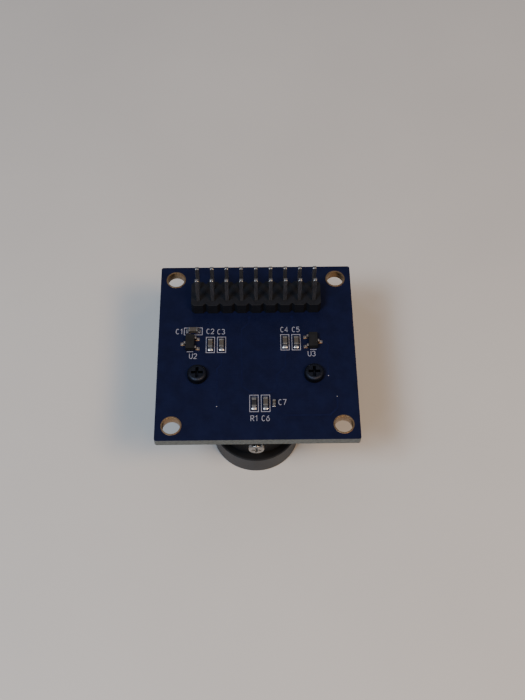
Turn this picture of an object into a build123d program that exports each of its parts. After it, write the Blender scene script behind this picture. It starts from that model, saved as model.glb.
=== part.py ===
"""A small camera module: a square circuit board with a two-row pin header on one face, and on
the other face an image sensor under an M12 lens holder with a screw-in focusing lens.

Frame, in millimetres: the origin is the middle of the four mounting holes, on the board's
pin-side face.  +X runs along the header, +Y points to the board's header edge, and +Z points
out of the pin side.  The lens looks along -Z.
"""
from build123d import *
import os
from math import sqrt

os.makedirs("parts", exist_ok=True)

# ---------------------------------------------------------------- circuit board
board_w = 34.3
board_d = 35.0
board_t = 1.6
board_corner_r = 0.4
mount_dx = 28.8
mount_dy = 29.5
mount_hole_r = 1.5
mount_ring_r = 1.75
plating_t = 0.06

# ---------------------------------------------------------------- pin header, 2 rows of 9
pitch = 2.54
pins_per_row = 9
header_y = 10.0
header_h = 2.54
header_notch = 0.5
pin_side = 0.64
pin_above_board = 8.54
pin_below_board = 3.0
pin_tip_chamfer = 0.16
pin_hole_r = 0.5
pin_pad_r = 0.85
solder_tip_r = 0.47
solder_waist_r = 0.57
solder_waist_drop = 0.4
solder_h = 0.95

# ---------------------------------------------------------------- chip parts on the pin side
pad_t = 0.05
chip_gap = 0.02
chip_w = 0.8
chip_body_l = 1.0
chip_end_l = 0.3
capacitor_h = 0.8
resistor_h = 0.5
chip_pad_reach = 1.25
fillet_h = 0.5
resistor_fillet_h = 0.35
fillet_hollow = 0.33
small_w = 0.5
small_body_l = 0.5
small_end_l = 0.25
small_pad_reach = 0.68
small_fillet_h = 0.3
chip_edge_r = 0.05

# centre X, centre Y and turn about Z of each chip; an unturned chip lies along X
capacitor_places = [
    (-11.08, 3.72, 0),
    (-8.05, 0.92, 90),
    (-6.10, 0.92, 90),
    (4.96, 1.30, 90),
    (6.91, 1.30, 90),
    (1.40, -10.70, 90),
]
resistor_place = (-0.55, -10.70, 90)
small_capacitor_place = (2.83, -10.70, 90)

# ---------------------------------------------------------------- two voltage regulators
regulator_w = 1.6
regulator_l = 2.9
regulator_h = 1.05
regulator_stand = 0.1
regulator_seam_z = 0.62
regulator_draft = 8
lead_pitch = 1.9
lead_w = 0.42
lead_t = 0.14
lead_shoulder_x = 1.0
lead_foot_x = 1.12
lead_toe_x = 1.45
regulator_pad_l = 0.75
regulator_pad_w = 0.62
regulator_pad_margin = 0.2
lead_solder_reach = 0.18
regulator_places = {"u2": (-11.57, 1.12, 180), "u3": (9.86, 1.33, 0)}

# ---------------------------------------------------------------- lens holder
lens_x = -0.2
lens_y = -5.2
holder_base_w = 15.0
holder_base_h = 5.8
holder_corner_r = 1.2
holder_edge = 0.4
ear_spacing = 20.0
ear_w = 5.4
ear_h = 4.6
cavity_w = 11.0
cavity_h = 2.8
filter_pocket_w = 8.4
filter_pocket_h = 0.6
filter_ledge_h = 1.0
filter_window_r = 3.6
filter_w = 8.2
filter_t = 0.55
collar_r = 7.0
collar_end_z = -16.4
thread_bore_r = 6.03
thread_entry = 0.35

# ---------------------------------------------------------------- screws
holder_screw_clear_r = 1.1
holder_screw_r = 0.95
holder_screw_l = 5.4
holder_head_r = 1.7
holder_head_h = 1.25
holder_head_round = 0.55
holder_recess_span = 2.0
holder_recess_w = 0.52
holder_recess_depth = 0.8
lock_screw_z = -11.1
lock_screw_r = 0.78
lock_hole_r = 0.83
lock_screw_l = 2.0
lock_head_r = 1.4
lock_head_h = 0.9
lock_head_round = 0.3
lock_recess_span = 1.7
lock_recess_w = 0.42
lock_recess_depth = 0.55
lock_tip_gap = 0.08
lock_boss_w = 3.8
lock_boss_half_h = 1.65
lock_boss_out = 0.8
lock_boss_edge = 0.3
recess_draft = 9

# ---------------------------------------------------------------- lens, M12 x 0.5
lens_front_z = -22.0
head_l = 4.6
head_r = 8.0
head_edge = 0.2
lens_thread_r = 5.97
lens_thread_l = 9.8
relief_r = 5.55
relief_l = 0.6
front_flare_r = 7.1
front_flare_l = 1.2
ring_seat_r = 6.2
ring_l = 1.4
ring_front_r = 5.7
ring_bore_r = 4.9
spanner_slot_w = 0.8
spanner_slot_l = 0.6
front_glass_r = 5.5
front_glass_edge_l = 1.4
stack_r = 4.2
stack_bore_r = 3.5
rear_lip_l = 1.0
rear_lip_r = 3.1
stop_t = 0.15
stop_hole_r = 1.05
front_spacer_l = 1.8
middle_glass_edge_l = 1.6
middle_spacer_l = 0.9
rear_spacer_l = 1.15
hollow_glass_edge_l = 1.2
# curves of each element: front radius and reach, then back radius and reach
front_glass_curves = (12.0, ring_bore_r, -4.2, 3.2)
middle_glass_curves = (8.0, 3.3, 9.0, 3.3)
hollow_glass_curves = (-9.0, 3.2, 0, 0)
rear_glass_curves = (0, 0, 7.0, 3.0)

# ---------------------------------------------------------------- image sensor
sensor_x = 4.2
sensor_y = 4.4
sensor_t = 0.45
sensor_glass_t = 0.4
ball_pitch = 0.75
ball_r = 0.16
ball_h = 0.18

# ---------------------------------------------------------------- worked out from the above
first_pin_x = -pitch * (pins_per_row - 1) / 2
pin_places = [
    (first_pin_x + pitch * column, header_y + side * pitch / 2)
    for column in range(pins_per_row)
    for side in (-1, 1)
]
lens_at = (lens_x, lens_y)
ear_places = [(lens_x - ear_spacing / 2, lens_y), (lens_x + ear_spacing / 2, lens_y)]
lens_axis = Axis((lens_x, lens_y, 0), (0, 0, 1))
lens_plane = Plane(origin=(lens_x, lens_y, 0), x_dir=(1, 0, 0), z_dir=(0, -1, 0))
ledge_top_z = -board_t - cavity_h - filter_pocket_h
ledge_bottom_z = ledge_top_z - filter_ledge_h
head_back_z = lens_front_z + head_l
lens_back_z = head_back_z + lens_thread_l
centred_on_base = (Align.CENTER, Align.CENTER, Align.MIN)


def flat_places(places, angle_step=0):
    """Locations on the board's pin side for (x, y, angle) entries."""
    return [Location((x, y, 0), (0, 0, angle + angle_step)) for x, y, angle in places]


def both_ends(places):
    """The same, twice: once for each end of a chip."""
    return flat_places(places) + flat_places(places, 180)


def chip_ends(places, body_l, end_l, width, height):
    """The two metal end caps of every chip in places, added to the current part."""
    with Locations(*both_ends(places)):
        with Locations((body_l / 2 + end_l / 2, 0, pad_t)):
            Box(end_l, width, height, align=centred_on_base)


def chip_bodies(places, body_l, width, height):
    """The ceramic middle of every chip in places, added to the current part."""
    with Locations(*flat_places(places)):
        with Locations((0, 0, pad_t + chip_gap)):
            Box(body_l, width - 2 * chip_gap, height - 2 * chip_gap, align=centred_on_base)


def solder_wedge(start_x, reach_x, height, width):
    """A solder fillet against a chip's end, with a hollowed slope, along the local X."""
    slope = (start_x + fillet_hollow * (reach_x - start_x), pad_t + fillet_hollow * height)
    with BuildSketch(Plane.XZ) as profile:
        with BuildLine():
            Line((start_x, pad_t), (reach_x, pad_t))
            ThreePointArc((reach_x, pad_t), slope, (start_x, pad_t + height))
            Line((start_x, pad_t + height), (start_x, pad_t))
        make_face()
    extrude(profile.sketch, amount=width / 2, both=True)


def regulator_body():
    """A moulded body that narrows away from its seam, at the origin."""
    up = regulator_stand + regulator_h - regulator_seam_z
    down = regulator_seam_z - regulator_stand
    with BuildSketch(Plane.XY.offset(regulator_seam_z)) as seam:
        Rectangle(regulator_w, regulator_l)
    extrude(seam.sketch, amount=up, taper=regulator_draft)
    extrude(seam.sketch, amount=down, dir=(0, 0, -1), taper=regulator_draft)


def cross_recess(plane, span, width, depth):
    """Cut a Phillips cross into the current part, down from the plane."""
    with BuildSketch(plane) as cross:
        Rectangle(span, width)
        Rectangle(width, span)
    inward = plane.z_dir * -1
    extrude(cross.sketch, amount=depth, dir=inward, taper=recess_draft, mode=Mode.SUBTRACT)


def sag(radius, reach):
    """Depth of a sphere's cap of the given radius, out to reach from its axis."""
    return radius - sqrt(radius**2 - reach**2)


def glass(edge_r, front_z, back_z, front_r, front_reach, back_r, back_reach):
    """A lens element.  A positive radius bulges out of the glass, a negative one hollows it,
    and zero leaves it flat."""
    front_side = -1 if front_r > 0 else 1
    back_side = 1 if back_r > 0 else -1
    front_depth = front_side * sag(abs(front_r), front_reach) if front_r else 0
    back_depth = back_side * sag(abs(back_r), back_reach) if back_r else 0
    with BuildSketch(lens_plane) as half_section:
        with BuildLine():
            if front_r:
                tip = front_z + front_depth
                half = front_side * sag(abs(front_r), front_reach / 2)
                ThreePointArc((0, tip), (front_reach / 2, tip - half), (front_reach, front_z))
                Line((front_reach, front_z), (edge_r, front_z))
            else:
                Line((0, front_z), (edge_r, front_z))
            Line((edge_r, front_z), (edge_r, back_z))
            if back_r:
                tip = back_z + back_depth
                half = back_side * sag(abs(back_r), back_reach / 2)
                Line((edge_r, back_z), (back_reach, back_z))
                ThreePointArc((back_reach, back_z), (back_reach / 2, tip - half), (0, tip))
            else:
                Line((edge_r, back_z), (0, back_z))
            Line((0, back_z + back_depth), (0, front_z + front_depth))
        make_face()
    revolve(half_section.sketch, axis=lens_axis)


def tube(inner_r, outer_r, from_z, to_z):
    """A ring on the lens axis."""
    with BuildSketch(Plane.XY.offset(from_z)) as annulus:
        with Locations(lens_at):
            Circle(outer_r)
            Circle(inner_r, mode=Mode.SUBTRACT)
    extrude(annulus.sketch, amount=to_z - from_z)


# ================================================================ circuit board
with BuildPart() as circuit_board:
    with BuildSketch(Plane.XY.offset(-board_t)):
        RectangleRounded(board_w, board_d, board_corner_r)
        with GridLocations(mount_dx, mount_dy, 2, 2):
            Circle(mount_hole_r + plating_t, mode=Mode.SUBTRACT)
        with Locations(*pin_places):
            Circle(pin_hole_r, mode=Mode.SUBTRACT)
        with Locations(*ear_places):
            Circle(holder_screw_clear_r, mode=Mode.SUBTRACT)
    extrude(amount=board_t)

# The plating lines each mounting hole and spreads into a thin ring on both faces.
with BuildPart() as hole_plating:
    for from_z, thickness, outer_r in (
        (-board_t - pad_t, pad_t, mount_ring_r),
        (-board_t, board_t, mount_hole_r + plating_t),
        (0, pad_t, mount_ring_r),
    ):
        with BuildSketch(Plane.XY.offset(from_z)):
            with GridLocations(mount_dx, mount_dy, 2, 2):
                Circle(outer_r)
                Circle(mount_hole_r, mode=Mode.SUBTRACT)
        extrude(amount=thickness)

# ================================================================ pin header
half_cell = pitch / 2
with BuildPart() as header_body:
    with BuildSketch():
        with Locations((0, header_y)):
            with GridLocations(pitch, pitch, pins_per_row, 1):
                Polygon(
                    (-half_cell, -pitch + header_notch),
                    (-half_cell + header_notch, -pitch),
                    (half_cell - header_notch, -pitch),
                    (half_cell, -pitch + header_notch),
                    (half_cell, pitch - header_notch),
                    (half_cell - header_notch, pitch),
                    (-half_cell + header_notch, pitch),
                    (-half_cell, pitch - header_notch),
                )
        with Locations(*pin_places):
            Rectangle(pin_side, pin_side, mode=Mode.SUBTRACT)
    extrude(amount=header_h)

with BuildPart() as header_pins:
    with BuildSketch(Plane.XY.offset(-pin_below_board)):
        with Locations(*pin_places):
            Rectangle(pin_side, pin_side)
    extrude(amount=pin_below_board + pin_above_board)
    levels = header_pins.edges().group_by(Axis.Z)  # pin tips are the first and last levels
    chamfer(levels[0] + levels[-1], length=pin_tip_chamfer)

# One solder joint: it fills the plated hole round the pin and tapers down the pin's tail.
with BuildPart() as one_joint:
    with BuildSketch(Plane.XZ):
        with BuildLine():
            Line((0, 0), (pin_hole_r, 0))
            Line((pin_hole_r, 0), (pin_hole_r, -board_t))
            Line((pin_hole_r, -board_t), (pin_pad_r, -board_t))
            ThreePointArc(
                (pin_pad_r, -board_t),
                (solder_waist_r, -board_t - solder_waist_drop),
                (solder_tip_r, -board_t - solder_h),
            )
            Line((solder_tip_r, -board_t - solder_h), (0, -board_t - solder_h))
            Line((0, -board_t - solder_h), (0, 0))
        make_face()
    revolve(axis=Axis.Z)
    with BuildSketch(Plane.XY):
        Rectangle(pin_side, pin_side)
    extrude(amount=-2 * pin_below_board, mode=Mode.SUBTRACT)

with BuildPart() as header_solder:
    with Locations(*pin_places):
        add(one_joint.part)

# ================================================================ chips
small_places = [small_capacitor_place]
with BuildPart() as capacitor_bodies:
    chip_bodies(capacitor_places, chip_body_l, chip_w, capacitor_h)
    chip_bodies(small_places, small_body_l, small_w, small_w)

with BuildPart() as capacitor_ends:
    chip_ends(capacitor_places, chip_body_l, chip_end_l, chip_w, capacitor_h)
    chip_ends(small_places, small_body_l, small_end_l, small_w, small_w)
    fillet(capacitor_ends.edges(), chip_edge_r)

with BuildPart() as resistor_body:
    chip_bodies([resistor_place], chip_body_l, chip_w, resistor_h)

with BuildPart() as resistor_ends:
    chip_ends([resistor_place], chip_body_l, chip_end_l, chip_w, resistor_h)
    fillet(resistor_ends.edges(), chip_edge_r)

# ================================================================ regulators
regulator_parts = {}
for name, place in regulator_places.items():
    with BuildPart() as regulator:
        regulator_body()
    regulator_parts[name] = regulator.part.moved(flat_places([place])[0])

# One gull-wing lead: out of the body's side, down, and flat along its pad.
with BuildPart() as one_lead:
    with BuildSketch(Plane.XZ):
        Polygon(
            (regulator_w / 2, regulator_seam_z - lead_t / 2),
            (lead_shoulder_x - lead_t / 2, regulator_seam_z - lead_t / 2),
            (lead_foot_x - lead_t / 2, pad_t),
            (lead_toe_x, pad_t),
            (lead_toe_x, pad_t + lead_t),
            (lead_foot_x + lead_t / 2, pad_t + lead_t),
            (lead_shoulder_x + lead_t / 2, regulator_seam_z + lead_t / 2),
            (regulator_w / 2, regulator_seam_z + lead_t / 2),
            align=None,
        )
    extrude(amount=lead_w / 2, both=True)

lead_places = []
for x, y, angle in regulator_places.values():
    turned = Location((x, y, 0), (0, 0, angle))
    lead_places.append(turned)
    for side in (-1, 1):
        lead_places.append(turned * Location((0, side * lead_pitch / 2, 0), (0, 0, 180)))

with BuildPart() as regulator_leads:
    with Locations(*lead_places):
        add(one_lead.part)

# ================================================================ pads and solder
chip_half_l = chip_body_l / 2 + chip_end_l
small_half_l = small_body_l / 2 + small_end_l
with BuildPart() as component_pads:
    with BuildSketch():
        with Locations(*both_ends(capacitor_places + [resistor_place])):
            with Locations(((chip_body_l / 2 + chip_pad_reach) / 2, 0)):
                Rectangle(chip_pad_reach - chip_body_l / 2, chip_w)
        with Locations(*both_ends(small_places)):
            with Locations(((small_body_l / 2 + small_pad_reach) / 2, 0)):
                Rectangle(small_pad_reach - small_body_l / 2, small_w)
        with Locations(*lead_places):
            with Locations((lead_toe_x + regulator_pad_margin - regulator_pad_l / 2, 0)):
                Rectangle(regulator_pad_l, regulator_pad_w)
    extrude(amount=pad_t)

with BuildPart() as chip_wedge:
    solder_wedge(chip_half_l, chip_pad_reach, fillet_h, chip_w)

with BuildPart() as resistor_wedge:
    solder_wedge(chip_half_l, chip_pad_reach, resistor_fillet_h, chip_w)

with BuildPart() as small_wedge:
    solder_wedge(small_half_l, small_pad_reach, small_fillet_h, small_w)

with BuildPart() as lead_wedge:
    solder_wedge(lead_toe_x, lead_toe_x + lead_solder_reach, lead_t, lead_w)

with BuildPart() as component_solder:
    with Locations(*both_ends(capacitor_places)):
        add(chip_wedge.part)
    with Locations(*both_ends([resistor_place])):
        add(resistor_wedge.part)
    with Locations(*both_ends(small_places)):
        add(small_wedge.part)
    with Locations(*lead_places):
        add(lead_wedge.part)

# ================================================================ image sensor
with BuildPart() as sensor_solder_balls:
    with Locations((lens_x, lens_y, -board_t - ball_h)):
        with GridLocations(ball_pitch, ball_pitch, 5, 5):
            Cylinder(ball_r, ball_h, align=centred_on_base)

with BuildPart() as image_sensor:
    with BuildSketch(Plane.XY.offset(-board_t - ball_h)):
        with Locations(lens_at):
            Rectangle(sensor_x, sensor_y)
    extrude(amount=-sensor_t)

with BuildPart() as sensor_cover_glass:
    with BuildSketch(Plane.XY.offset(-board_t - ball_h - sensor_t)):
        with Locations(lens_at):
            Rectangle(sensor_x, sensor_y)
    extrude(amount=-sensor_glass_t)

# ================================================================ lens holder
base_bottom_z = -board_t - holder_base_h
boss_face_y = lens_y - collar_r - lock_boss_out
with BuildPart() as lens_holder:
    with BuildSketch(Plane.XY.offset(base_bottom_z)):
        with Locations(lens_at):
            RectangleRounded(holder_base_w, holder_base_w, holder_corner_r)
    extrude(amount=holder_base_h)
    chamfer(lens_holder.edges().group_by(Axis.Z)[0], length=holder_edge)
    with BuildSketch(Plane.XY.offset(-board_t - ear_h)):
        with Locations(lens_at):
            SlotCenterToCenter(ear_spacing, ear_w)
    extrude(amount=ear_h)
    with BuildSketch(Plane.XY.offset(collar_end_z)):
        with Locations(lens_at):
            Circle(collar_r)
    extrude(amount=base_bottom_z - collar_end_z)
    # the thickened pad that carries the lock screw
    with BuildSketch(Plane.XZ.offset(-lens_y)):
        with Locations((lens_x, lock_screw_z)):
            RectangleRounded(lock_boss_w, 2 * lock_boss_half_h, lock_boss_edge)
    extrude(amount=collar_r + lock_boss_out)
    # sensor cavity, filter pocket, window and thread bore, from the board down
    with BuildSketch(Plane.XY.offset(-board_t)):
        with Locations(lens_at):
            RectangleRounded(cavity_w, cavity_w, holder_edge)
    extrude(amount=-cavity_h, mode=Mode.SUBTRACT)
    with BuildSketch(Plane.XY.offset(-board_t - cavity_h)):
        with Locations(lens_at):
            Rectangle(filter_pocket_w, filter_pocket_w)
    extrude(amount=-filter_pocket_h, mode=Mode.SUBTRACT)
    with BuildSketch(Plane.XY.offset(ledge_top_z)):
        with Locations(lens_at):
            Circle(filter_window_r)
    extrude(amount=-filter_ledge_h, mode=Mode.SUBTRACT)
    with BuildSketch(lens_plane):
        Polygon(
            (0, ledge_bottom_z),
            (thread_bore_r, ledge_bottom_z),
            (thread_bore_r, collar_end_z + thread_entry),
            (thread_bore_r + thread_entry, collar_end_z),
            (0, collar_end_z),
            align=None,
        )
    revolve(axis=lens_axis, mode=Mode.SUBTRACT)
    # pilot holes for the holder screws and the tapped hole of the lock screw
    with BuildSketch(Plane.XY.offset(-board_t)):
        with Locations(*ear_places):
            Circle(holder_screw_r)
    extrude(amount=-ear_h, mode=Mode.SUBTRACT)
    with BuildSketch(Plane.XZ.offset(-lens_y)):
        with Locations((lens_x, lock_screw_z)):
            Circle(lock_hole_r)
    extrude(amount=holder_base_w, mode=Mode.SUBTRACT)

with BuildPart() as ir_filter:
    with BuildSketch(Plane.XY.offset(ledge_top_z)):
        with Locations(lens_at):
            Rectangle(filter_w, filter_w)
    extrude(amount=filter_t)

# ================================================================ screws
with BuildPart() as holder_screws:
    with BuildSketch(Plane.XY):
        with Locations(*ear_places):
            Circle(holder_head_r)
    extrude(amount=holder_head_h)
    fillet(holder_screws.edges().group_by(Axis.Z)[-1], holder_head_round)
    with BuildSketch(Plane.XY):
        with Locations(*ear_places):
            Circle(holder_screw_r)
    extrude(amount=-holder_screw_l)
    for x, y in ear_places:
        head_top = Plane(origin=(x, y, holder_head_h))
        cross_recess(head_top, holder_recess_span, holder_recess_w, holder_recess_depth)

# Looking out along the lock screw from its tip, which stops just short of the lens thread.
lock_tip_y = lens_y - lens_thread_r - lock_tip_gap
lock_plane = Plane(
    origin=(lens_x, lock_tip_y, lock_screw_z), x_dir=(1, 0, 0), z_dir=(0, -1, 0)
)
with BuildPart() as lock_screw:
    with BuildSketch(lock_plane.offset(lock_screw_l)):
        Circle(lock_head_r)
    extrude(amount=lock_head_h)
    fillet(lock_screw.edges().sort_by(Axis.Y)[0], lock_head_round)
    with BuildSketch(lock_plane):
        Circle(lock_screw_r)
    extrude(amount=lock_screw_l)
    lock_top = lock_plane.offset(lock_screw_l + lock_head_h)
    cross_recess(lock_top, lock_recess_span, lock_recess_w, lock_recess_depth)

# ================================================================ lens
ring_front_z = lens_front_z + front_flare_l
glass_front_z = ring_front_z + ring_l
shoulder_z = glass_front_z + front_glass_edge_l
stack_end_z = lens_back_z - rear_lip_l
with BuildPart() as lens_barrel:
    with BuildSketch(lens_plane):
        Polygon(
            (front_flare_r, lens_front_z),
            (head_r - head_edge, lens_front_z),
            (head_r, lens_front_z + head_edge),
            (head_r, head_back_z - head_edge),
            (head_r - head_edge, head_back_z),
            (relief_r, head_back_z),
            (relief_r, head_back_z + relief_l),
            (lens_thread_r, head_back_z + relief_l + thread_entry),
            (lens_thread_r, lens_back_z - thread_entry),
            (lens_thread_r - thread_entry, lens_back_z),
            (rear_lip_r, lens_back_z),
            (rear_lip_r, stack_end_z),
            (stack_r, stack_end_z),
            (stack_r, shoulder_z),
            (front_glass_r, shoulder_z),
            (front_glass_r, glass_front_z),
            (ring_seat_r, glass_front_z),
            (ring_seat_r, ring_front_z),
            align=None,
        )
    revolve(axis=lens_axis)

with BuildPart() as lens_retaining_ring:
    with BuildSketch(lens_plane):
        Polygon(
            (ring_front_r, ring_front_z),
            (ring_seat_r, ring_front_z),
            (ring_seat_r, glass_front_z),
            (ring_bore_r, glass_front_z),
            (ring_bore_r, glass_front_z - ring_l / 3),
            align=None,
        )
    revolve(axis=lens_axis)
    with BuildSketch(Plane.XY.offset(ring_front_z)):
        with Locations(lens_at):
            Rectangle(2 * ring_seat_r, spanner_slot_w)
    extrude(amount=spanner_slot_l, mode=Mode.SUBTRACT)

# The glass and the rings between it, from the front of the lens to the back.
front_spacer_end_z = shoulder_z + front_spacer_l
middle_glass_end_z = front_spacer_end_z + middle_glass_edge_l
stop_z = middle_glass_end_z + middle_spacer_l
rear_spacer_end_z = stop_z + stop_t + rear_spacer_l
hollow_glass_end_z = rear_spacer_end_z + hollow_glass_edge_l

with BuildPart() as front_glass:
    glass(front_glass_r, glass_front_z, shoulder_z, *front_glass_curves)

with BuildPart() as front_spacer:
    tube(stack_bore_r, stack_r, shoulder_z, front_spacer_end_z)

with BuildPart() as middle_glass:
    glass(stack_r, front_spacer_end_z, middle_glass_end_z, *middle_glass_curves)

with BuildPart() as middle_spacer:
    tube(stack_bore_r, stack_r, middle_glass_end_z, stop_z)

with BuildPart() as aperture_stop:
    tube(stop_hole_r, stack_r, stop_z, stop_z + stop_t)

with BuildPart() as rear_spacer:
    tube(stack_bore_r, stack_r, stop_z + stop_t, rear_spacer_end_z)

with BuildPart() as hollow_glass:
    glass(stack_r, rear_spacer_end_z, hollow_glass_end_z, *hollow_glass_curves)

with BuildPart() as rear_glass:
    glass(stack_r, hollow_glass_end_z, stack_end_z, *rear_glass_curves)

# ================================================================ labels and files
pieces = {
    "circuit_board": circuit_board.part,
    "hole_plating": hole_plating.part,
    "header_body": header_body.part,
    "header_pins": header_pins.part,
    "header_solder": header_solder.part,
    "capacitor_bodies": capacitor_bodies.part,
    "capacitor_ends": capacitor_ends.part,
    "resistor_body": resistor_body.part,
    "resistor_ends": resistor_ends.part,
    "regulator_u2": regulator_parts["u2"],
    "regulator_u3": regulator_parts["u3"],
    "regulator_leads": regulator_leads.part,
    "component_pads": component_pads.part,
    "component_solder": component_solder.part,
    "sensor_solder_balls": sensor_solder_balls.part,
    "image_sensor": image_sensor.part,
    "sensor_cover_glass": sensor_cover_glass.part,
    "lens_holder": lens_holder.part,
    "ir_filter": ir_filter.part,
    "holder_screws": holder_screws.part,
    "lock_screw": lock_screw.part,
    "lens_barrel": lens_barrel.part,
    "lens_retaining_ring": lens_retaining_ring.part,
    "front_glass": front_glass.part,
    "front_spacer": front_spacer.part,
    "middle_glass": middle_glass.part,
    "middle_spacer": middle_spacer.part,
    "aperture_stop": aperture_stop.part,
    "rear_spacer": rear_spacer.part,
    "hollow_glass": hollow_glass.part,
    "rear_glass": rear_glass.part,
}
for name, piece in pieces.items():
    piece.label = name
    export_step(piece, f"parts/{name}.step")
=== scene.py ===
import math
import random

import bmesh
import bpy
from mathutils import Matrix, Vector


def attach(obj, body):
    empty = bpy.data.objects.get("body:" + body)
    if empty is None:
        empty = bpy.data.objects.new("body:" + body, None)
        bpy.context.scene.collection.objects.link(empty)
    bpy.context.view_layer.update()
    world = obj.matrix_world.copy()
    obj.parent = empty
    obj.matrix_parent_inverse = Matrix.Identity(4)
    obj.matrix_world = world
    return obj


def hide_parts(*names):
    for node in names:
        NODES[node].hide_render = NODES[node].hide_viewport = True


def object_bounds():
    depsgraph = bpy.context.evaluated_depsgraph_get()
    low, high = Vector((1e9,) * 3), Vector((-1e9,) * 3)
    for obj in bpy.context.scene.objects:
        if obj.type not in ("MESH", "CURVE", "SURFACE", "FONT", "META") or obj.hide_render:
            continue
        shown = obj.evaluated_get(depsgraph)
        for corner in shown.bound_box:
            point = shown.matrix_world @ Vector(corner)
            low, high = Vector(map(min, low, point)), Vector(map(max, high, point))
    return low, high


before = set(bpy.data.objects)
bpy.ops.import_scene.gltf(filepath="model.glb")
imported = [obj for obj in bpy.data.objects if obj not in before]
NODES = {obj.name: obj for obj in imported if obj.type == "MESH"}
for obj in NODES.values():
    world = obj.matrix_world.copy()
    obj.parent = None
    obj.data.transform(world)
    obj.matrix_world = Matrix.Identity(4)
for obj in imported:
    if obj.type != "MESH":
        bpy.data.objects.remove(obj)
cad_low, cad_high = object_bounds()

MM = 0.001
TAU = 2 * math.pi
DRAW = random.Random(11)

# ------------------------------------------------------------------ sizes, in millimetres
PITCH = 2.54
PINS_PER_ROW = 9
COLUMNS_X = [PITCH * (column - (PINS_PER_ROW - 1) / 2) for column in range(PINS_PER_ROW)]
HEADER_Y = 10.0
PIN_SIDE = 0.64
PIN_PAD_R = 0.85
PIN_SOLDER_H = 0.95

CHIP_HALF_L = 0.8
CHIP_PAD_REACH = 1.25
CHIP_W = 0.8
CHIP_FILLET_H = 0.5
RESISTOR_FILLET_H = 0.35
SMALL_HALF_L = 0.5
SMALL_PAD_REACH = 0.68
SMALL_W = 0.5
SMALL_FILLET_H = 0.3
PAD_T = 0.05
LEAD_TOE_X = 1.45
LEAD_SOLDER_REACH = 0.18
LEAD_PITCH = 1.9
LEAD_W = 0.42
LEAD_T = 0.14

# centre x, centre y and turn in degrees, as in the CAD source
CAPACITORS = {
    "C1": (-11.08, 3.72, 0),
    "C2": (-8.05, 0.92, 90),
    "C3": (-6.10, 0.92, 90),
    "C4": (4.96, 1.30, 90),
    "C5": (6.91, 1.30, 90),
    "C6": (1.40, -10.70, 90),
}
RESISTORS = {"R1": (-0.55, -10.70, 90)}
SMALL_CAPACITORS = {"C7": (2.83, -10.70, 90)}
REGULATORS = {"U2": (-11.57, 1.12, 180), "U3": (9.86, 1.33, 0)}

INK_W = 0.12
INK_T = 0.024
INK_STEP = 0.0006
LETTER_H = 1.0
LETTER_W = 0.52
LETTER_GAP = 0.22
OUTLINE_L = 3.15
OUTLINE_W = 1.45
REGULATOR_LINE_Y = 1.56
REGULATOR_LINE_HALF_L = 0.55

# middle of each designator on the board
DESIGNATORS = {
    "C1": (-13.46, 3.72),
    "C2": (-8.08, 3.70),
    "C3": (-6.18, 3.60),
    "C4": (4.90, 3.93),
    "C5": (6.94, 3.93),
    "U2": (-11.02, -1.32),
    "U3": (9.55, -1.05),
    "R1": (-0.48, -13.52),
    "C6": (1.38, -13.52),
    "C7": (4.24, -10.52),
}

LENS_X = -0.2
LENS_Y = -5.2
LENS_FRONT_Z = -22.0
HEAD_L = 4.6
HEAD_R = 8.0
HEAD_EDGE = 0.2
THREAD_R = 5.97
THREAD_L = 9.8
THREAD_PITCH = 0.5
THREAD_DEPTH = 0.3
THREAD_ENTRY = 0.35
THREAD_ROWS_PER_TURN = 10
THREAD_FLANK = 1.25
THREAD_CREST = 0.12
RELIEF_R = 5.55
RELIEF_L = 0.6
FLARE_R = 7.1
FLARE_L = 1.2
RING_SEAT_R = 6.2
RING_L = 1.4
FRONT_GLASS_R = 5.5
FRONT_GLASS_EDGE_L = 1.4
STACK_R = 4.2
REAR_LIP_R = 3.1
REAR_LIP_L = 1.0
LATHE_STEPS = 96
TURNED_STEP = 0.1
TURNED_PITCH = 3 * TURNED_STEP
TURNED_DEPTH = 0.012

BOARD_T = 1.6


def mm(x, y, z):
    """A point given in millimetres, in metres."""
    return Vector((x, y, z)) * MM


# ------------------------------------------------------------------ camera and light
LENS_MM = 51.32
SENSOR_MM = 36.0
CAMERA_AT = (-0.707, -89.674, 148.542)
CAMERA_FORWARD = (0.00998, 0.51588, -0.85660)
CAMERA_UP = (0.01008, 0.85655, 0.51597)
CAMERA_CLIP = (0.005, 20.0)
SKY_STRENGTH = 0.36
SKY_COLOUR = (0.86, 0.90, 1.0, 1)
LIT_POINT = (0, 0, -10)
# name, place in millimetres, side in metres, power in watts, and colour
LIGHTS = [
    ("key", (160, -165, 350), 0.10, 1.38, (1.0, 0.66, 0.35)),
    ("fill", (-160, -165, 350), 0.11, 1.46, (0.80, 0.935, 1.07)),
]


def make_camera():
    """Above the board's near edge, looking down at the pin side."""
    data = bpy.data.cameras.new("camera")
    data.sensor_width = SENSOR_MM
    data.lens = LENS_MM
    data.clip_start, data.clip_end = CAMERA_CLIP
    camera = bpy.data.objects.new("camera", data)
    forward = Vector(CAMERA_FORWARD).normalized()
    right = forward.cross(Vector(CAMERA_UP).normalized()).normalized()
    up = right.cross(forward)
    turn = Matrix((right, up, -forward)).transposed()
    camera.matrix_world = Matrix.Translation(mm(*CAMERA_AT)) @ turn.to_4x4()
    bpy.context.scene.collection.objects.link(camera)
    bpy.context.scene.camera = camera


def area_light(name, position, size, power, colour):
    """A square soft light that faces the object."""
    data = bpy.data.lights.new(name, "AREA")
    data.shape = "SQUARE"
    data.size = size
    data.energy = power
    data.color = colour
    light = bpy.data.objects.new(name, data)
    light.location = position
    light.rotation_mode = "QUATERNION"
    light.rotation_quaternion = (mm(*LIT_POINT) - position).to_track_quat("-Z", "Y")
    bpy.context.scene.collection.objects.link(light)


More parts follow.
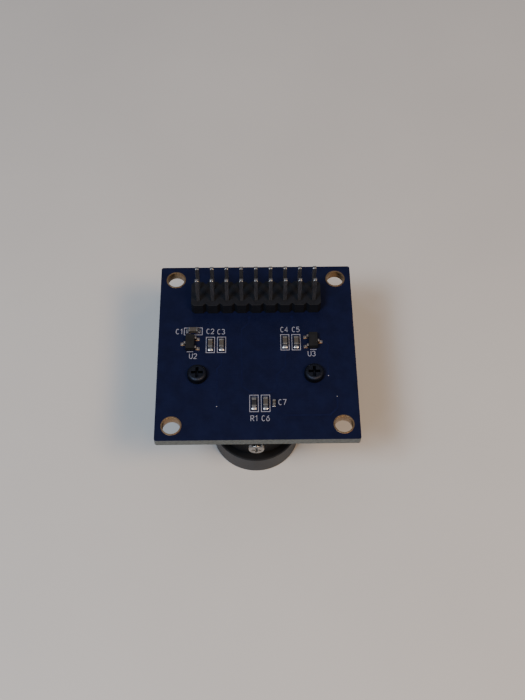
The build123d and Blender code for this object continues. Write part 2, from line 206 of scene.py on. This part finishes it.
def make_light():
    """A pale sky, a warm light from the right and a cool one from the left."""
    world = bpy.data.worlds.new("world")
    bpy.context.scene.world = world
    world.use_nodes = True
    sky = world.node_tree.nodes["Background"]
    sky.inputs["Color"].default_value = SKY_COLOUR
    sky.inputs["Strength"].default_value = SKY_STRENGTH
    for name, place, size, power, colour in LIGHTS:
        area_light(name, mm(*place), size, power, colour)


# ------------------------------------------------------------------ shaders
MASK_SHINE = 0.12


class Finish:
    """A material and its nodes, with short calls for what the finishes below share."""

    def __init__(self, name, **sockets):
        """Each keyword is a shader socket, with underscores for its spaces, and its even value."""
        self.material = bpy.data.materials.new(name)
        self.material.use_nodes = True
        self.tree = self.material.node_tree
        self.shader = self.tree.nodes["Principled BSDF"]
        for socket, value in sockets.items():
            self.shader.inputs[socket.replace("_", " ")].default_value = value
        self.coordinates = self.add("ShaderNodeTexCoord")
        scaled = self.add("ShaderNodeVectorMath", operation="SCALE")
        self.link(self.coordinates.outputs["Object"], scaled.inputs[0])
        scaled.inputs["Scale"].default_value = 1 / MM
        self.mm = scaled.outputs[0]

    def add(self, kind, **settings):
        node = self.tree.nodes.new(kind)
        for key, value in settings.items():
            setattr(node, key, value)
        return node

    def link(self, output, socket):
        self.tree.links.new(output, socket)

    def stretched(self, x, y, z):
        """The object's millimetres, scaled along each axis."""
        node = self.add("ShaderNodeVectorMath", operation="MULTIPLY")
        self.link(self.mm, node.inputs[0])
        node.inputs[1].default_value = (x, y, z)
        return node.outputs[0]

    def noise(self, per_mm, detail=3.0, where=None):
        node = self.add("ShaderNodeTexNoise")
        self.link(where or self.mm, node.inputs["Vector"])
        node.inputs["Scale"].default_value = per_mm
        node.inputs["Detail"].default_value = detail
        return node.outputs["Fac"]

    def waves(self, per_mm, axis, distortion=0.0):
        node = self.add("ShaderNodeTexWave", wave_type="BANDS", bands_direction=axis)
        self.link(self.mm, node.inputs["Vector"])
        node.inputs["Scale"].default_value = per_mm
        node.inputs["Distortion"].default_value = distortion
        return node.outputs["Fac"]

    def ramp(self, value, low, high, low_colour, high_colour):
        node = self.add("ShaderNodeValToRGB")
        self.link(value, node.inputs["Fac"])
        first, last = node.color_ramp.elements
        first.position = low
        last.position = high
        first.color = (*low_colour, 1)
        last.color = (*high_colour, 1)
        return node.outputs["Color"]

    def range(self, value, low, high):
        """value, which runs from 0 to 1, spread between low and high."""
        node = self.add("ShaderNodeMapRange")
        self.link(value, node.inputs["Value"])
        node.inputs["To Min"].default_value = low
        node.inputs["To Max"].default_value = high
        return node.outputs["Result"]

    def mix(self, factor, a, b):
        node = self.add("ShaderNodeMix", data_type="RGBA")
        self.link(factor, node.inputs[0])
        self.link(a, node.inputs[6])
        self.link(b, node.inputs[7])
        return node.outputs[2]

    def facing_z(self, above):
        """1 where the surface faces up or down more than `above`, else 0."""
        parts = self.add("ShaderNodeSeparateXYZ")
        self.link(self.coordinates.outputs["Normal"], parts.inputs[0])
        size = self.add("ShaderNodeMath", operation="ABSOLUTE")
        self.link(parts.outputs["Z"], size.inputs[0])
        test = self.add("ShaderNodeMath", operation="GREATER_THAN")
        self.link(size.outputs[0], test.inputs[0])
        test.inputs[1].default_value = above
        return test.outputs[0]

    def sum(self, a, b, share):
        """a plus share of b."""
        node = self.add("ShaderNodeMath", operation="MULTIPLY_ADD")
        self.link(b, node.inputs[0])
        node.inputs[1].default_value = share
        self.link(a, node.inputs[2])
        return node.outputs[0]

    def product(self, a, b):
        node = self.add("ShaderNodeMath", operation="MULTIPLY")
        self.link(a, node.inputs[0])
        self.link(b, node.inputs[1])
        return node.outputs[0]

    def colour(self, output):
        self.link(output, self.shader.inputs["Base Color"])

    def roughness(self, output):
        self.link(output, self.shader.inputs["Roughness"])

    def bump(self, height, depth):
        """Bump of that depth in millimetres."""
        node = self.add("ShaderNodeBump")
        node.inputs["Distance"].default_value = depth * MM
        self.link(height, node.inputs["Height"])
        self.link(node.outputs["Normal"], self.shader.inputs["Normal"])


def board_finish():
    """Dark blue solder mask on the faces, grey glass-fibre laminate on the cut edges."""
    f = Finish("board_finish", IOR=1.5, Specular_IOR_Level=MASK_SHINE)
    mottle = f.noise(0.35, 4.0)
    mask = f.ramp(mottle, 0.35, 0.68, (0.0022, 0.0034, 0.0178), (0.0030, 0.0048, 0.0240))
    layers = f.range(f.waves(1.1, "Z", 2.5), 0.0, 0.35)
    flecks = f.noise(3.2, 4.0, f.stretched(0.7, 0.7, 2.0))
    layered = f.sum(layers, flecks, 0.9)
    laminate = f.ramp(layered, 0.40, 0.85, (0.044, 0.052, 0.052), (0.150, 0.162, 0.161))
    face = f.facing_z(0.5)
    f.colour(f.mix(face, laminate, mask))
    f.roughness(f.range(f.noise(1.4, 3.0), 0.34, 0.50))
    weave = f.product(face, f.sum(f.waves(0.62, "X", 0.6), f.waves(0.62, "Y", 0.6), 1.0))
    f.bump(f.sum(f.noise(7.0, 2.0), weave, 0.5), 0.005)
    return f.material


def trace_finish():
    """Solder mask where it lies over copper, a touch lighter than over bare laminate."""
    f = Finish("trace_finish", IOR=1.5, Specular_IOR_Level=MASK_SHINE)
    f.colour(f.ramp(f.noise(0.6, 3.0), 0.3, 0.7, (0.0025, 0.0038, 0.0204), (0.0035, 0.0055, 0.0278)))
    f.roughness(f.range(f.noise(1.8, 3.0), 0.30, 0.45))
    f.bump(f.noise(6.0, 2.0), 0.004)
    return f.material


def ink_finish():
    """Screen-printed ink, a little uneven."""
    f = Finish("ink_finish", IOR=1.45)
    f.colour(f.ramp(f.noise(3.5, 4.0), 0.3, 0.62, (0.125, 0.130, 0.165), (0.230, 0.235, 0.285)))
    f.roughness(f.range(f.noise(5.0, 2.0), 0.55, 0.75))
    f.bump(f.noise(12.0, 2.0), 0.006)
    return f.material


def metal_finish(name, dark, light, rough, depth, per_mm=5.0):
    """Bare or plated metal, uneven in colour and polish."""
    f = Finish(name, Metallic=1.0)
    spots = f.noise(per_mm, 4.0)
    f.colour(f.ramp(spots, 0.3, 0.7, dark, light))
    f.roughness(f.range(f.noise(per_mm * 0.6, 3.0), *rough))
    f.bump(spots, depth)
    return f.material


def pin_finish():
    """Drawn pins: dull along their sides; their level tip faces are painted lighter, as a painted highlight.
    """
    f = Finish("pin_finish", Metallic=0.75)
    drawn = f.noise(9.0, 3.0, f.stretched(1.0, 1.0, 0.08))
    side = f.ramp(drawn, 0.3, 0.7, (0.065, 0.067, 0.078), (0.130, 0.132, 0.148))
    # painted highlight: the tip faces, picked by how they face, get a lighter colour than the sides
    tip_highlight = f.ramp(f.noise(6.0, 2.0), 0.3, 0.7, (0.10, 0.10, 0.105), (0.20, 0.20, 0.205))
    f.colour(f.mix(f.facing_z(0.6), side, tip_highlight))
    f.roughness(f.range(drawn, 0.24, 0.42))
    f.bump(drawn, 0.004)
    return f.material


def plastic_finish(name, dark, light, rough, grain, depth, shine=0.2):
    """Moulded plastic or epoxy with a fine grain."""
    f = Finish(name, IOR=1.48, Specular_IOR_Level=shine)
    f.colour(f.ramp(f.noise(1.2, 4.0), 0.3, 0.7, dark, light))
    texture = f.noise(grain, 3.0)
    f.roughness(f.range(texture, *rough))
    f.bump(f.sum(texture, f.noise(grain * 0.25, 2.0), 0.6), depth)
    return f.material


def ceramic_finish():
    """Fired capacitor ceramic, speckled brown."""
    f = Finish("ceramic_finish", IOR=1.6)
    f.colour(f.ramp(f.noise(7.0, 5.0), 0.3, 0.7, (0.020, 0.0165, 0.0135), (0.050, 0.042, 0.034)))
    f.roughness(f.range(f.noise(9.0, 3.0), 0.42, 0.62))
    f.bump(f.noise(16.0, 3.0), 0.008)
    return f.material


def anodised_finish():
    """Black anodised aluminium with fine turned rings. Its level faces are painted darker than its walls, as
    painted shade.
    """
    f = Finish("anodised_finish", IOR=1.5, Specular_IOR_Level=0.35)
    patches = f.noise(0.8, 4.0)
    wall = f.ramp(patches, 0.3, 0.7, (0.0118, 0.0138, 0.0186), (0.0164, 0.0190, 0.0250))
    # painted shade: the level faces, front and back, get a darker copy of the wall colour
    face = f.ramp(patches, 0.3, 0.7, (0.0030, 0.0032, 0.0044), (0.0048, 0.0050, 0.0066))
    f.colour(f.mix(f.facing_z(0.5), wall, face))
    rings = f.noise(4.0, 3.0, f.stretched(0.04, 0.04, 2.4))
    f.roughness(f.range(rings, 0.34, 0.52))
    f.bump(rings, 0.010)
    return f.material


def glass_finish(name, tint, coating):
    """Optical glass with a coloured antireflection coating."""
    coat = {"Coat_Weight": 0.6, "Coat_Roughness": 0.03, "Coat_Tint": (*coating, 1)}
    f = Finish(name, IOR=1.6, Transmission_Weight=1.0, **coat)
    f.colour(f.ramp(f.noise(0.5, 2.0), 0.2, 0.8, tuple(0.96 * c for c in tint), tint))
    f.roughness(f.range(f.noise(2.0, 3.0), 0.01, 0.035))
    return f.material


# ------------------------------------------------------------------ pieces
def add_piece(name, vertices, faces, body, material, sharp=35):
    """A new mesh piece from millimetre points, riding on a CAD body."""
    mesh = bpy.data.meshes.new(name)
    mesh.from_pydata([Vector(v) * MM for v in vertices], [], faces)
    work = bmesh.new()
    work.from_mesh(mesh)
    bmesh.ops.recalc_face_normals(work, faces=work.faces)
    work.to_mesh(mesh)
    work.free()
    mesh.polygons.foreach_set("use_smooth", [True] * len(mesh.polygons))
    mesh.set_sharp_from_angle(angle=math.radians(sharp))
    mesh.materials.append(material)
    piece = bpy.data.objects.new(name, mesh)
    bpy.context.scene.collection.objects.link(piece)
    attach(piece, body)
    return piece


class Solids:
    """Points and faces of many closed solids that share one piece."""

    def __init__(self):
        self.vertices = []
        self.faces = []

    def take(self, vertices, faces):
        start = len(self.vertices)
        self.vertices += vertices
        self.faces += [[start + i for i in face] for face in faces]


def turned(x, y, centre_x, centre_y, degrees):
    """A local point, turned and moved to its place on the board."""
    a = math.radians(degrees)
    return centre_x + x * math.cos(a) - y * math.sin(a), centre_y + x * math.sin(a) + y * math.cos(a)


def ring_faces(rings, steps, start=0):
    """Faces between rings of points that follow each other from index start."""
    faces = []
    for ring in range(rings - 1):
        a = start + ring * steps
        for i in range(steps):
            j = (i + 1) % steps
            faces.append((a + i, a + j, a + steps + j, a + steps + i))
    return faces


def cap(ring, steps, start=0):
    """One face over a whole ring of points."""
    return [start + ring * steps + i for i in range(steps)]


def circle(x, y, z, radius, steps):
    """A ring of points at one height."""
    angles = [TAU * i / steps for i in range(steps)]
    return [(x + radius * math.cos(a), y + radius * math.sin(a), z) for a in angles]


def ribbon(points, width, z, thickness, closed=False):
    """A flat strip of even width along points, with mitred corners, as a closed solid."""
    count = len(points)
    flat = [Vector(p) for p in points]
    sides = []
    for i in range(count):
        before = flat[i] - flat[i - 1] if closed or i else flat[1] - flat[0]
        after = flat[(i + 1) % count] - flat[i] if closed or i < count - 1 else before
        normals = [Vector((-d.y, d.x)).normalized() for d in (before, after)]
        mitre = (normals[0] + normals[1]).normalized()
        reach = width / 2 / max(0.5, mitre.dot(normals[0]))
        sides.append((flat[i] + mitre * reach, flat[i] - mitre * reach))
    vertices = []
    for left, right in sides:
        vertices += [(*left, z), (*right, z), (*right, z + thickness), (*left, z + thickness)]
    faces = []
    for i in range(count if closed else count - 1):
        a, b = 4 * i, 4 * ((i + 1) % count)
        faces += [(a + k, a + (k + 1) % 4, b + (k + 1) % 4, b + k) for k in range(4)]
    if not closed:
        last = 4 * (count - 1)
        faces += [(0, 1, 2, 3), (last + 3, last + 2, last + 1, last)]
    return vertices, faces


def arc(x, y, rx, ry, start, end, steps=12):
    """Points along an ellipse's arc, in degrees."""
    angles = [math.radians(start + (end - start) * i / steps) for i in range(steps + 1)]
    return [(x + rx * math.cos(a), y + ry * math.sin(a)) for a in angles]


# ------------------------------------------------------------------ printing
# strokes of each letter in a cell one wide and one high
GLYPHS = {
    "C": [arc(0.5, 0.5, 0.5, 0.5, 48, 312, 18)],
    "R": [
        [(0, 0), (0, 1), (0.55, 1)] + arc(0.6, 0.75, 0.38, 0.25, 80, -80) + [(0.55, 0.5), (0.08, 0.5)],
        [(0.5, 0.46), (1, 0)],
    ],
    "U": [[(0, 1), (0, 0.4)] + arc(0.5, 0.36, 0.5, 0.36, 180, 360, 14) + [(1, 0.4), (1, 1)]],
    "1": [[(0.15, 0.78), (0.52, 1), (0.52, 0)]],
    "2": [arc(0.5, 0.7, 0.46, 0.3, 165, -28, 14) + [(0.04, 0), (1, 0)]],
    "3": [arc(0.45, 0.76, 0.44, 0.24, 150, -80), arc(0.45, 0.27, 0.5, 0.27, 82, -150, 14)],
    "4": [[(0.72, 0), (0.72, 1), (0, 0.3), (1, 0.3)]],
    "5": [[(0.92, 1), (0.14, 1), (0.08, 0.54)] + arc(0.46, 0.32, 0.5, 0.32, 128, -145, 14)],
    "6": [[(0.82, 1), (0.3, 0.68)] + arc(0.5, 0.31, 0.48, 0.31, 160, 500, 20)],
    "7": [[(0, 1), (1, 1), (0.36, 0)]],
}


def letters(text, centre_x, centre_y):
    """The strokes of a designator. Each lies a hair higher than the last, so no two share a plane."""
    total = LETTER_W * len(text) + LETTER_GAP * (len(text) - 1)
    made = []
    for index, letter in enumerate(text):
        left = centre_x - total / 2 + index * (LETTER_W + LETTER_GAP)
        for stroke in GLYPHS[letter]:
            points = [(left + x * LETTER_W, centre_y + (y - 0.5) * LETTER_H) for x, y in stroke]
            made.append(ribbon(points, INK_W, 0, INK_T + INK_STEP * len(made)))
    return made


def make_printing():
    """The designators and the outlines round the chips, printed on the pin side."""
    ink = ink_finish()
    for text, (x, y) in DESIGNATORS.items():
        solids = Solids()
        for stroke in letters(text, x, y):
            solids.take(*stroke)
        add_piece(f"printed_{text}", solids.vertices, solids.faces, "module", ink)
    outlines = Solids()
    for x, y, angle in [*CAPACITORS.values(), *RESISTORS.values()]:
        half_l, half_w = OUTLINE_L / 2, OUTLINE_W / 2
        corners = [(-half_l, -half_w), (half_l, -half_w), (half_l, half_w), (-half_l, half_w)]
        corners = [turned(cx, cy, x, y, angle) for cx, cy in corners]
        outlines.take(*ribbon(corners, INK_W, 0, INK_T, closed=True))
    for x, y, angle in REGULATORS.values():
        for end in (-1, 1):
            line_y = end * REGULATOR_LINE_Y
            line = [turned(side * REGULATOR_LINE_HALF_L, line_y, x, y, angle) for side in (-1, 1)]
            outlines.take(*ribbon(line, INK_W, 0, INK_T))
    add_piece("printed_outlines", outlines.vertices, outlines.faces, "module", ink)


# ------------------------------------------------------------------ copper under the mask
TRACE_T = 0.010
TRACE_W = 0.28
VIA_R = 0.32
VIA_HOLE_R = 0.14
VIA_FILL_R = 0.11
VIA_FILL_H = 0.03
OPEN_VIAS = [(-6.85, -11.19), (12.25, -5.41), (13.51, -9.48)]
LENS_SIDE_END_Y = 3.0
LENS_SIDE_RUN = 0.6
LENS_SIDE_GATHER = 0.58
LEAST_BEND = 0.05
# single routes on the pin side, from a chip's pad to the via that takes it through
PIN_SIDE_ROUTES = [
    [(-9.30, 3.72), (-8.50, 3.95), (-8.50, 5.60)],
    [(-6.10, -0.70), (-6.10, -3.10), (-6.85, -3.90), (-6.85, -11.19)],
    [(4.96, -0.40), (4.96, -3.60), (3.40, -5.20), (3.40, -8.10), (1.40, -8.90)],
    [(11.90, 1.33), (12.60, 0.60), (12.25, -0.30), (12.25, -5.41)],
    [(2.83, -11.80), (4.40, -13.00), (12.20, -13.00), (13.51, -11.70), (13.51, -9.48)],
    [(-0.55, -8.90), (-2.60, -7.40), (-2.60, 4.10), (-1.27, 5.40), (-1.27, 6.60)],
    [(6.91, 3.20), (6.35, 4.60), (6.35, 6.60)],
]


def via(x, y, z, up):
    """A tented via: a low ring of copper with a dimple where its hole is."""
    steps = 20
    slope = [(VIA_R, 0), (VIA_R * 0.85, TRACE_T)]
    dimple = [(VIA_HOLE_R * 1.3, TRACE_T), (VIA_HOLE_R * 0.6, TRACE_T * 0.3)]
    rings = slope + dimple
    vertices = []
    for radius, height in rings:
        vertices += circle(x, y, z + up * height, radius, steps)
    return vertices, ring_faces(len(rings), steps) + [cap(0, steps), cap(len(rings) - 1, steps)]


def via_fill(x, y):
    """A low dome of solder in a via that the mask leaves open."""
    rings, steps = 4, 16
    vertices = [(x, y, VIA_FILL_H)]
    for ring in range(1, rings + 1):
        u = ring / rings
        vertices += circle(x, y, VIA_FILL_H * (1 - u * u), VIA_FILL_R * u, steps)
    crown = [(0, 1 + i, 1 + (i + 1) % steps) for i in range(steps)]
    return vertices, crown + ring_faces(rings, steps, 1) + [cap(rings - 1, steps, 1)]


def make_traces():
    """Copper under the mask, standing a hair proud of the board on both faces."""
    finish = trace_finish()
    pin_side = Solids()
    for step, route in enumerate(PIN_SIDE_ROUTES):
        pin_side.take(*ribbon(route, TRACE_W, 0, TRACE_T + INK_STEP * step))
        pin_side.take(*via(*route[-1], 0, 1))
    add_piece("traces_pin_side", pin_side.vertices, pin_side.faces, "module", finish)
    lens_side = Solids()
    near_row_y = HEADER_Y - PITCH / 2
    bend_y = LENS_SIDE_END_Y + LENS_SIDE_RUN
    for x in COLUMNS_X:
        gathered = LENS_X + (x - LENS_X) * LENS_SIDE_GATHER
        bend = abs(x - gathered)
        route = [(x, near_row_y), (x, bend_y + bend), (gathered, bend_y), (gathered, LENS_SIDE_END_Y)]
        if bend < LEAST_BEND:
            route = [route[0], route[-1]]
        lens_side.take(*ribbon(route, TRACE_W, -BOARD_T - TRACE_T, TRACE_T))
        lens_side.take(*via(gathered, LENS_SIDE_END_Y, -BOARD_T, -1))
    add_piece("traces_lens_side", lens_side.vertices, lens_side.faces, "module", finish)


# ------------------------------------------------------------------ solder
FLOW = (0.86, 1.0)
FILLET_HOLLOW = 1.9
FILLET_ROUNDING = 0.45
FILLET_NARROWING = 0.10
FILLET_SWELL = 0.012
FILLET_T = 0.004
CONE_HOLLOW = 2.2
CONE_WANDER = 0.05


def fillet_solid(start, reach, height, width, place):
    """A solder fillet: hollowed down its slope and rounded off towards both sides."""
    along, across = 8, 8
    x0, y0, angle = place
    top, base = [], []
    for i in range(along + 1):
        u = i / along
        for j in range(across + 1):
            v = 2 * j / across - 1
            narrow = 1 - FILLET_NARROWING * u * u
            x, y = turned(start + (reach - start) * u, v * width / 2 * narrow, x0, y0, angle)
            slope = height * (1 - u) ** FILLET_HOLLOW * (1 - FILLET_ROUNDING * abs(v) ** 3)
            rise = slope + FILLET_SWELL * (1 - abs(v))
            top.append((x, y, PAD_T + rise + FILLET_T))
            base.append((x, y, PAD_T))
    row = across + 1
    below = len(top)
    faces = []
    for i in range(along):
        for j in range(across):
            a = i * row + j
            faces.append((a, a + 1, a + row + 1, a + row))
            faces.append((below + a, below + a + row, below + a + row + 1, below + a + 1))
    rim = list(range(row)) + [i * row + across for i in range(1, along + 1)]
    rim += [along * row + j for j in range(across - 1, -1, -1)] + [i * row for i in range(along - 1, 0, -1)]
    for here, there in zip(rim, rim[1:] + rim[:1]):
        faces.append((here, there, below + there, below + here))
    return top + base, faces


def make_solder():
    """The fillets of every chip and lead on the pin side, and the open vias. Gives back their finish."""
    finish = metal_finish("solder_finish", (0.28, 0.28, 0.29), (0.54, 0.54, 0.56), (0.26, 0.42), 0.008, 6.0)
    solids = Solids()
    chips = [(p, CHIP_HALF_L, CHIP_PAD_REACH, CHIP_FILLET_H, CHIP_W) for p in CAPACITORS.values()]
    chips += [(p, CHIP_HALF_L, CHIP_PAD_REACH, RESISTOR_FILLET_H, CHIP_W) for p in RESISTORS.values()]
    chips += [(p, SMALL_HALF_L, SMALL_PAD_REACH, SMALL_FILLET_H, SMALL_W) for p in SMALL_CAPACITORS.values()]
    for (x, y, angle), start, reach, height, width in chips:
        for turn in (0, 180):
            flow = DRAW.uniform(*FLOW)
            solids.take(*fillet_solid(start, reach, height * flow, width, (x, y, angle + turn)))
    for x, y, angle in REGULATORS.values():
        leads = [(0, 0)] + [(side * LEAD_PITCH / 2, 180) for side in (-1, 1)]
        for offset, turn in leads:
            cx, cy = turned(0, offset, x, y, angle)
            place = (cx, cy, angle + turn)
            solids.take(*fillet_solid(LEAD_TOE_X, LEAD_TOE_X + LEAD_SOLDER_REACH, LEAD_T, LEAD_W, place))
    piece = add_piece("solder_fillets", solids.vertices, solids.faces, "module", finish, 60)
    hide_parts("component_solder")
    spots = Solids()
    for x, y in OPEN_VIAS:
        spots.take(*via_fill(x, y))
    add_piece("open_vias", spots.vertices, spots.faces, "module", finish, 60)
    return finish


def solder_cone(x, y, height, lean):
    """A cone of solder under the board with a hollow slope, drawn in a little towards lean."""
    steps, rows = 24, 10
    tip_r = PIN_SIDE * math.sqrt(0.5)
    vertices = []
    for row in range(rows + 1):
        u = row / rows
        z = -BOARD_T - height * u
        base_r = tip_r + (PIN_PAD_R - tip_r) * (1 - u) ** CONE_HOLLOW
        for i in range(steps):
            a = TAU * i / steps
            radius = base_r * (1 - CONE_WANDER * u * (1 - u) * (1 + math.cos(a - lean)))
            vertices.append((x + radius * math.cos(a), y + radius * math.sin(a), z))
    return vertices, ring_faces(rows + 1, steps) + [cap(0, steps), cap(rows, steps)]


def make_pin_solder(finish):
    """Solder round each pin's tail: a hollow cone that wets up the pin, no two quite alike."""
    solids = Solids()
    for x in COLUMNS_X:
        for side in (-1, 1):
            height = PIN_SOLDER_H * DRAW.uniform(*FLOW)
            lean = DRAW.uniform(0, TAU)
            solids.take(*solder_cone(x, HEADER_Y + side * PITCH / 2, height, lean))
    piece = add_piece("pin_solder", solids.vertices, solids.faces, "module", finish, 60)
    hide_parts("header_solder")


# ------------------------------------------------------------------ lens barrel
def stepped(from_z, to_z, step):
    """Heights from from_z to to_z, both included, about step apart."""
    count = max(1, round(abs(to_z - from_z) / step))
    return [from_z + (to_z - from_z) * i / count for i in range(count + 1)]


def barrel_profile():
    """The barrel's closed half section as (radius, z, kind), from the front flare round to it again."""
    head_back = LENS_FRONT_Z + HEAD_L
    lens_back = head_back + THREAD_L
    ring_front = LENS_FRONT_Z + FLARE_L
    glass_front = ring_front + RING_L
    shoulder = glass_front + FRONT_GLASS_EDGE_L
    rows = [(FLARE_R, LENS_FRONT_Z, "plain"), (HEAD_R - HEAD_EDGE, LENS_FRONT_Z, "plain")]
    for z in stepped(LENS_FRONT_Z + HEAD_EDGE, head_back - HEAD_EDGE, TURNED_STEP):
        rows.append((HEAD_R, z, "turned"))
    rows += [(HEAD_R - HEAD_EDGE, head_back, "plain"), (RELIEF_R, head_back, "plain")]
    rows.append((RELIEF_R, head_back + RELIEF_L, "plain"))
    start, end = head_back + RELIEF_L + THREAD_ENTRY, lens_back - THREAD_ENTRY
    for z in stepped(start, end, THREAD_PITCH / THREAD_ROWS_PER_TURN):
        rows.append((THREAD_R, z, "thread"))
    rows += [(THREAD_R - THREAD_ENTRY, lens_back, "plain"), (REAR_LIP_R, lens_back, "plain")]
    rows += [(REAR_LIP_R, lens_back - REAR_LIP_L, "plain"), (STACK_R, lens_back - REAR_LIP_L, "plain")]
    rows += [(STACK_R, shoulder, "plain"), (FRONT_GLASS_R, shoulder, "plain")]
    rows += [(FRONT_GLASS_R, glass_front, "plain"), (RING_SEAT_R, glass_front, "plain")]
    rows.append((RING_SEAT_R, ring_front, "plain"))
    return rows


def make_barrel(finish):
    """The lens barrel, with its turned head and a true helical thread."""
    rows = barrel_profile()
    vertices = []
    for step in range(LATHE_STEPS):
        a = TAU * step / LATHE_STEPS
        for radius, z, kind in rows:
            if kind == "turned":
                radius -= TURNED_DEPTH * (0.5 + 0.5 * math.cos(TAU * z / TURNED_PITCH))
            if kind == "thread":
                phase = (z / THREAD_PITCH - step / LATHE_STEPS) % 1
                cut = THREAD_FLANK * (1 - abs(2 * phase - 1)) - THREAD_CREST
                radius -= THREAD_DEPTH * min(1, max(0, cut))
            vertices.append((LENS_X + radius * math.cos(a), LENS_Y + radius * math.sin(a), z))
    count = len(rows)
    faces = []
    for step in range(LATHE_STEPS):
        here, there = step * count, (step + 1) % LATHE_STEPS * count
        for i in range(count):
            j = (i + 1) % count
            faces.append((here + i, here + j, there + j, there + i))
    piece = add_piece("turned_barrel", vertices, faces, "barrel", finish, 25)
    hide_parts("lens_barrel")


# ------------------------------------------------------------------ finishes of the CAD nodes
EDGE_R = 0.05
SMALL_EDGE_R = 0.025
FINE_NODES = {"component_pads", "regulator_leads", "capacitor_bodies", "resistor_body", "hole_plating"}
EDGE_ANGLE = 40
SAME_POINT = 1e-6


def node_finishes(lens_black):
    """Each carried-over node's finish, and the name of its slot."""
    black_plastic = plastic_finish(
        "header_finish", (0.0034, 0.0040, 0.0066), (0.0058, 0.0066, 0.0102), (0.50, 0.70), 9.0, 0.010
    )
    holder = plastic_finish(
        "holder_finish", (0.0026, 0.0026, 0.0042), (0.0048, 0.0048, 0.0072), (0.50, 0.70), 7.0, 0.016, 0.1
    )
    mould = plastic_finish(
        "mould_finish", (0.0040, 0.0041, 0.0050), (0.0072, 0.0073, 0.0088), (0.50, 0.72), 14.0, 0.010
    )
    glaze = plastic_finish(
        "resistor_finish", (0.010, 0.010, 0.012), (0.022, 0.022, 0.026), (0.25, 0.45), 10.0, 0.006, 0.4
    )
    silicon = plastic_finish(
        "silicon_finish", (0.020, 0.022, 0.030), (0.036, 0.038, 0.050), (0.12, 0.22), 20.0, 0.002, 0.5
    )
    gold = metal_finish("plating_finish", (0.170, 0.105, 0.055), (0.330, 0.225, 0.130), (0.30, 0.50), 0.010)
    tin = metal_finish("tin_finish", (0.15, 0.145, 0.14), (0.33, 0.32, 0.31), (0.32, 0.48), 0.008, 8.0)
    oxide = metal_finish("oxide_finish", (0.011, 0.013, 0.020), (0.024, 0.027, 0.038), (0.42, 0.60), 0.008)
    nickel = metal_finish("nickel_finish", (0.22, 0.215, 0.21), (0.42, 0.41, 0.40), (0.20, 0.36), 0.008)
    copper = metal_finish("lead_finish", (0.26, 0.215, 0.19), (0.54, 0.49, 0.46), (0.30, 0.48), 0.006, 8.0)
    lens_glass = glass_finish("lens_glass_finish", (0.97, 1.0, 0.98), (0.62, 0.86, 0.74))
    filter_glass = glass_finish("filter_finish", (0.90, 0.62, 0.66), (0.90, 0.50, 0.55))
    spacers = ("front_spacer", "middle_spacer", "aperture_stop", "rear_spacer", "lens_retaining_ring")
    elements = ("front_glass", "middle_glass", "hollow_glass", "rear_glass", "sensor_cover_glass")
    finishes = {
        "circuit_board": (board_finish(), "solder_mask"),
        "hole_plating": (gold, "hole_plating"),
        "header_body": (black_plastic, "header_plastic"),
        "header_pins": (pin_finish(), "pin_metal"),
        "header_solder": (tin, "solder"),
        "component_solder": (tin, "solder"),
        "capacitor_bodies": (ceramic_finish(), "chip_ceramic"),
        "capacitor_ends": (tin, "chip_metal"),
        "resistor_body": (glaze, "resistor_film"),
        "resistor_ends": (tin, "chip_metal"),
        "regulator_u2": (mould, "mould_compound"),
        "regulator_u3": (mould, "mould_compound"),
        "regulator_leads": (copper, "chip_metal"),
        "component_pads": (gold, "hole_plating"),
        "sensor_solder_balls": (tin, "solder"),
        "image_sensor": (silicon, "silicon"),
        "lens_holder": (holder, "holder_plastic"),
        "ir_filter": (filter_glass, "filter_glass"),
        "holder_screws": (oxide, "black_steel"),
        "lock_screw": (nickel, "bright_steel"),
        "lens_barrel": (lens_black, "lens_black"),
    }
    finishes.update({name: (lens_black, "lens_black") for name in spacers})
    finishes.update({name: (lens_glass, "lens_glass") for name in elements})
    return finishes


def soften_edges(node, radius):
    """Join the points that a node's faces share, and round its sharp edges."""
    weld = node.modifiers.new("weld", "WELD")
    weld.merge_threshold = SAME_POINT
    bevel = node.modifiers.new("bevel", "BEVEL")
    bevel.width = radius * MM
    bevel.segments = 2
    bevel.limit_method = "ANGLE"
    bevel.angle_limit = math.radians(EDGE_ANGLE)


def dress_nodes(lens_black):
    """Give each carried-over node its finish and soft edges."""
    for name, (material, slot) in node_finishes(lens_black).items():
        node = NODES[name]
        for held in node.material_slots:
            held.link = "OBJECT"
            held.material = material
        soften_edges(node, SMALL_EDGE_R if name in FINE_NODES else EDGE_R)


# ------------------------------------------------------------------ floor
FLOOR_HALF_SIDE = 18.0


def make_floor():
    """A pale table under the lens, which the module stands on. Its size is in metres."""
    z = cad_low.z
    s = FLOOR_HALF_SIDE
    mesh = bpy.data.meshes.new("floor")
    mesh.from_pydata([(-s, -s, z), (s, -s, z), (s, s, z), (-s, s, z)], [], [(0, 1, 2, 3)])
    floor = bpy.data.objects.new("floor", mesh)
    bpy.context.scene.collection.objects.link(floor)
    f = Finish("floor_finish")
    f.colour(f.ramp(f.noise(0.02, 3.0), 0.3, 0.7, (0.426, 0.414, 0.406), (0.452, 0.440, 0.431)))
    f.roughness(f.range(f.noise(0.2, 3.0), 0.45, 0.6))
    mesh.materials.append(f.material)


make_camera()
make_light()
make_floor()
anodised = anodised_finish()
dress_nodes(anodised)
make_traces()
make_printing()
make_pin_solder(make_solder())
make_barrel(anodised)
